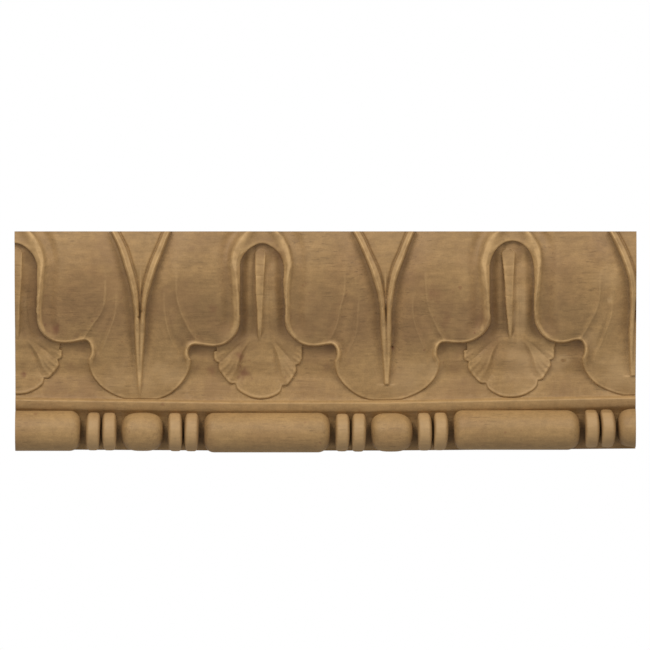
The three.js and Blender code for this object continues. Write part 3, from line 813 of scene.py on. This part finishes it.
def reels_at(co):
    """1 on the reels, which are a little paler than the beads."""
    repeat = 2 * HALF_REPEAT * COURSE_STRETCH
    bead = (LEFT_END + HALF_REPEAT) * COURSE_STRETCH + COURSE_SHIFT
    beside = np.abs((co[:, 0] - bead + repeat / 2) % repeat - repeat / 2)
    from_axis = np.hypot(co[:, 1] + AXIS_PROJECTION, co[:, 2] - AXIS_LEVEL - course_bow(co[:, 0]))
    middle = BEAD_WIDTH / 2 + BEAD_GAP + REEL_WIDTH + REEL_GAP / 2
    outside = ease(from_axis, COURSE_RADIUS - 2, COURSE_RADIUS - 0.5)
    return (np.abs(beside - middle) < REEL_WIDTH + 1) * outside


def vectors(items, name):
    """A vector property of all vertices or polygons, as rows of x, y and z."""
    values = np.zeros(len(items) * 3, np.float32)
    items.foreach_get(name, values)
    return values.reshape(-1, 3)


def counts(items, name):
    values = np.zeros(len(items), np.int32)
    items.foreach_get(name, values)
    return values


def paint(piece, grid):
    """Stores the painted shade and highlight, the stains, and the tone with its painted light and shade at
    each face corner. The cut ends, the top and the back get none.
    """
    mesh = piece.data
    co = vectors(mesh.vertices, "co").astype(float) / MM
    corners = counts(mesh.loops, "vertex_index")
    normals = vectors(mesh.polygons, "normal")
    centres = vectors(mesh.polygons, "center") / MM
    sides = counts(mesh.polygons, "loop_total")
    at_top = (normals[:, 2] > 0.97) & (centres[:, 2] > TOP - 0.2)
    at_end = (np.abs(normals[:, 0]) > 0.97) & (np.abs(centres[:, 0]) > LENGTH / 2 - 0.2)
    carved = np.repeat(~(at_top | at_end | (normals[:, 1] > 0.97)), sides)

    stain = spots_at(co, STAINS, 0.35, 5)
    tone_and_painted_light = spots_at(co, TONE_AND_PAINTED_LIGHT_ZONES, 0.3, 12) - 0.6 * reels_at(co) * (co[:, 2] < FILLET_FOOT)
    # Painted shade darkens the upper part of the band.
    tone_and_painted_light = tone_and_painted_light + 0.3 * ease(co[:, 2] - FILLET_TOP, 20, 30) * (co[:, 1] < -PAINTED_FROM)
    for name, values in (("shade_and_highlight", shade_and_highlight_at(co, grid)), ("stain", stain), ("tone_and_painted_light", tone_and_painted_light)):
        layer = mesh.attributes.new(name, "FLOAT", "CORNER")
        layer.data.foreach_set("value", (values[corners] * carved).astype(np.float32))


SHARP_ANGLE = math.radians(55)


def make_moulding():
    step = FINE_STEP
    block, grid = carved_block(step)
    kept_share = min(1.0, BAND_TRIANGLES / (2 * len(block.data.polygons)))
    apply_modifier(block, "DECIMATE", ratio=kept_share, use_collapse_triangulate=True)
    course = bead_course()
    trim = trim_box()
    apply_modifier(course, "BOOLEAN", operation="INTERSECT", solver="MANIFOLD", object=trim)
    apply_modifier(block, "BOOLEAN", operation="UNION", solver="MANIFOLD", object=course)
    for used in (course, trim):
        bpy.data.objects.remove(used)
    block.name = "moulding_cast"
    block.data.name = "moulding_cast"
    paint(block, grid)
    block.data.shade_smooth()
    block.data.set_sharp_from_angle(angle=SHARP_ANGLE)
    return block


def node(tree, kind, **settings):
    made = tree.nodes.new(kind)
    for key, value in settings.items():
        setattr(made, key, value)
    return made


RESIN_DARK = (0.376, 0.223, 0.086)
RESIN_LIGHT = (0.443, 0.266, 0.105)
RUSSET = (0.285, 0.150, 0.060)
SPECK = (0.26, 0.135, 0.055)
# The darker and paler zones, which are painted shade and painted light with some of the resin's own tone.
DARK_TONE_AND_SHADE = (0.225, 0.122, 0.052)
PALE_TONE_AND_LIGHT = (0.52, 0.335, 0.160)
# Painted shade in grooves and gaps.
PAINTED_GROOVE_SHADE = (0.15, 0.080, 0.033)
# A paler worn crest, partly a painted highlight.
WORN_CREST_AND_HIGHLIGHT = (0.575, 0.362, 0.155)
STAIN_BROWN = (0.20, 0.090, 0.040)


def resin_material():
    material = bpy.data.materials.new("resin")
    material.use_nodes = True
    tree = material.node_tree
    tree.nodes.clear()
    link = tree.links.new
    place = node(tree, "ShaderNodeTexCoord")
    output = node(tree, "ShaderNodeOutputMaterial")
    shader = node(tree, "ShaderNodeBsdfPrincipled")
    shader.inputs["Roughness"].default_value = 0.6
    shader.inputs["Specular IOR Level"].default_value = 0.35
    link(shader.outputs["BSDF"], output.inputs["Surface"])

    def noise(scale, detail, stretch):
        mapping = node(tree, "ShaderNodeMapping")
        mapping.inputs["Scale"].default_value = stretch
        link(place.outputs["Object"], mapping.inputs["Vector"])
        made = node(tree, "ShaderNodeTexNoise")
        made.inputs["Scale"].default_value = scale
        made.inputs["Detail"].default_value = detail
        link(mapping.outputs["Vector"], made.inputs["Vector"])
        return made.outputs["Fac"]

    def stored(name):
        return node(tree, "ShaderNodeAttribute", attribute_name=name).outputs["Fac"]

    def remap(source, given, wanted):
        made = node(tree, "ShaderNodeMapRange")
        link(source, made.inputs["Value"])
        for prefix, limits in (("From ", given), ("To ", wanted)):
            made.inputs[prefix + "Min"].default_value = limits[0]
            made.inputs[prefix + "Max"].default_value = limits[1]
        return made.outputs["Result"]

    def ramp(source, stops):
        made = node(tree, "ShaderNodeValToRGB")
        link(source, made.inputs["Fac"])
        while len(made.color_ramp.elements) < len(stops):
            made.color_ramp.elements.new(0.5)
        for element, (position, colour) in zip(made.color_ramp.elements, stops):
            element.position = position
            element.color = (*colour, 1) if len(colour) == 3 else (*colour * 3, 1)
        return made.outputs["Color"]

    def blend(kind, factor, a, b):
        made = node(tree, "ShaderNodeMix", data_type="RGBA", blend_type=kind)
        for value, socket in ((factor, "Factor"), (a, "A"), (b, "B")):
            named = [s for s in made.inputs if s.name == socket]
            at = [s for s in named if socket == "Factor" or s.type == "RGBA"][0]
            if isinstance(value, (int, float)):
                at.default_value = value
            elif isinstance(value, tuple):
                at.default_value = (*value, 1)
            else:
                link(value, at)
        return [s for s in made.outputs if s.type == "RGBA"][0]

    # The resin's own colour: brown clouds with a russet tinge in places.
    clouds = ramp(noise(24, 4, (1, 1, 1)), [(0.32, RESIN_DARK), (0.68, RESIN_LIGHT)])
    russet = ramp(noise(42, 3, (1, 1, 0.7)), [(0.50, (0.0,)), (0.74, (0.55,))])
    colour = blend("MIX", russet, clouds, RUSSET)

    # Fine streaks along the length, and mottling.
    streaks = ramp(noise(820, 4, (0.2, 1, 1.0)), [(0.36, (0.74,)), (0.60, (1.0,))])
    colour = blend("MULTIPLY", 0.30, colour, streaks)
    mottle = ramp(noise(430, 3, (1, 1, 1)), [(0.34, (0.84,)), (0.64, (1.0,))])
    colour = blend("MULTIPLY", 0.8, colour, mottle)

    # Darker patches, mostly on the upper part.
    axes = node(tree, "ShaderNodeSeparateXYZ")
    link(place.outputs["Object"], axes.inputs["Vector"])
    upper = remap(axes.outputs["Z"], (-0.008, 0.004), (0.3, 1.0))
    patches = ramp(noise(150, 4, (0.8, 1, 1.5)), [(0.38, (0.84,)), (0.60, (1.0,))])
    colour = blend("MULTIPLY", upper, colour, patches)

    # Grain, a few dark specks, and scratches in places.
    grain = ramp(noise(1900, 2, (1, 1, 1)), [(0.34, (0.82,)), (0.66, (1.0,))])
    colour = blend("MULTIPLY", 0.7, colour, grain)
    specks = ramp(noise(330, 1, (1, 1, 1)), [(0.73, (0.0,)), (0.80, (0.8,))])
    colour = blend("MIX", specks, colour, SPECK)
    scratches = ramp(noise(1400, 2, (0.16, 1, 1)), [(0.31, (0.73,)), (0.41, (1.0,))])
    where = ramp(noise(44, 2, (1, 1, 1)), [(0.46, (0.0,)), (0.58, (1.0,))])
    colour = blend("MULTIPLY", where, colour, scratches)

    # The darker and paler zones: painted shade and painted light, with some of the resin's own tone.
    tone_and_painted_light = stored("tone_and_painted_light")
    colour = blend("MIX", remap(tone_and_painted_light, (0.0, 1.0), (0.0, 0.5)), colour, DARK_TONE_AND_SHADE)
    colour = blend("MIX", remap(tone_and_painted_light, (0.0, -1.0), (0.0, 0.6)), colour, PALE_TONE_AND_LIGHT)

    # Painted shade in grooves, in gaps and on the fillet's face, paler crests that are partly worn and
    # partly a painted highlight, and the stains.
    shade_and_highlight = stored("shade_and_highlight")
    colour = blend("MIX", remap(shade_and_highlight, (0.08, 2.1), (0.0, 0.95)), colour, PAINTED_GROOVE_SHADE)
    wear_and_highlight = remap(shade_and_highlight, (-0.1, -0.75), (0.0, 0.65))
    uneven = ramp(noise(260, 3, (1, 1, 1)), [(0.36, (0.35,)), (0.58, (1.0,))])
    worn_and_highlit = node(tree, "ShaderNodeMath", operation="MULTIPLY")
    link(wear_and_highlight, worn_and_highlit.inputs[0])
    link(uneven, worn_and_highlit.inputs[1])
    colour = blend("MIX", worn_and_highlit.outputs["Value"], colour, WORN_CREST_AND_HIGHLIGHT)
    colour = blend("MIX", stored("stain"), colour, STAIN_BROWN)
    link(colour, shader.inputs["Base Color"])

    bump = node(tree, "ShaderNodeBump")
    bump.inputs["Strength"].default_value = 0.52
    bump.inputs["Distance"].default_value = 0.0003
    link(noise(820, 5, (0.16, 1, 1.0)), bump.inputs["Height"])
    link(bump.outputs["Normal"], shader.inputs["Normal"])
    return material


def plain_material(name, colour):
    material = bpy.data.materials.new(name)
    material.use_nodes = True
    shader = material.node_tree.nodes["Principled BSDF"]
    shader.inputs["Base Color"].default_value = (*colour, 1)
    shader.inputs["Roughness"].default_value = 0.9
    return material


def add_light(name, place, aim, size, power):
    data = bpy.data.lights.new(name, "AREA")
    data.shape = "RECTANGLE"
    data.size, data.size_y = size
    data.energy = power
    light = bpy.data.objects.new(name, data)
    light.location = place
    light.rotation_euler = (Vector(aim) - Vector(place)).to_track_quat("-Z", "Y").to_euler()
    bpy.context.scene.collection.objects.link(light)


# The studio, in metres: each light is (name, place, point aimed at, watts).
FLOOR_LEVEL = -0.45
FLOOR_HALF_WIDTH = 3.0
WORLD_LIGHT = 0.31
SOFTBOX_SIZE = (0.34, 0.34)
SOFTBOXES = [
    ("left_softbox", (-0.32, -0.50, 0.38), (-0.05, 0, 0), 3.05),
    ("right_softbox", (0.36, -0.46, 0.38), (0.05, 0, 0), 2.38),
]


def add_stage():
    square = [(-1, -1), (1, -1), (1, 1), (-1, 1)]
    corners = [(x * FLOOR_HALF_WIDTH, y * FLOOR_HALF_WIDTH, FLOOR_LEVEL) for x, y in square]
    floor = new_object("floor", corners, [(0, 1, 2, 3)])
    floor.data.materials.append(plain_material("floor_white", (0.86, 0.86, 0.86)))

    world = bpy.data.worlds.new("studio")
    world.use_nodes = True
    tree = world.node_tree
    background = tree.nodes["Background"]
    background.inputs["Color"].default_value = (1, 1, 1, 1)
    background.inputs["Strength"].default_value = WORLD_LIGHT
    seen = node(tree, "ShaderNodeBackground")
    seen.inputs["Color"].default_value = (1, 1, 1, 1)
    seen.inputs["Strength"].default_value = 1.0
    path = node(tree, "ShaderNodeLightPath")
    choose = node(tree, "ShaderNodeMixShader")
    tree.links.new(path.outputs["Is Camera Ray"], choose.inputs["Fac"])
    tree.links.new(background.outputs["Background"], choose.inputs[1])
    tree.links.new(seen.outputs["Background"], choose.inputs[2])
    tree.links.new(choose.outputs["Shader"], tree.nodes["World Output"].inputs["Surface"])
    bpy.context.scene.world = world
    bpy.context.scene.view_settings.view_transform = "Standard"

    for name, place, aim, power in SOFTBOXES:
        add_light(name, place, aim, SOFTBOX_SIZE, power)


# The camera stands straight in front, far enough away to show almost no perspective. The moulding takes up
# this many of the frame's pixels in its length, and its middle lies below and to the right of the frame's.
FRAME_PIXELS = 650
LENGTH_PIXELS = 622.0
DROP_PIXELS = 17.6
ASIDE_PIXELS = 0.5
CAMERA_DISTANCE = 6.0
BULGE_DEPTH = 0.026


def add_camera():
    nearest = CAMERA_DISTANCE - BULGE_DEPTH
    width_seen = (cad_high.x - cad_low.x) * FRAME_PIXELS / LENGTH_PIXELS
    data = bpy.data.cameras.new("camera")
    data.sensor_width = 36.0
    data.lens = data.sensor_width * nearest / width_seen
    camera = bpy.data.objects.new("camera", data)
    rise = DROP_PIXELS * width_seen / FRAME_PIXELS
    aside = -ASIDE_PIXELS * width_seen / FRAME_PIXELS
    camera.location = (aside, -CAMERA_DISTANCE, rise)
    camera.rotation_euler = (math.pi / 2, 0, 0)
    bpy.context.scene.collection.objects.link(camera)
    bpy.context.scene.camera = camera


moulding = make_moulding()
moulding.data.materials.clear()
moulding.data.materials.append(resin_material())
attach(moulding, "root")
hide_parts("moulding")
add_stage()
add_camera()
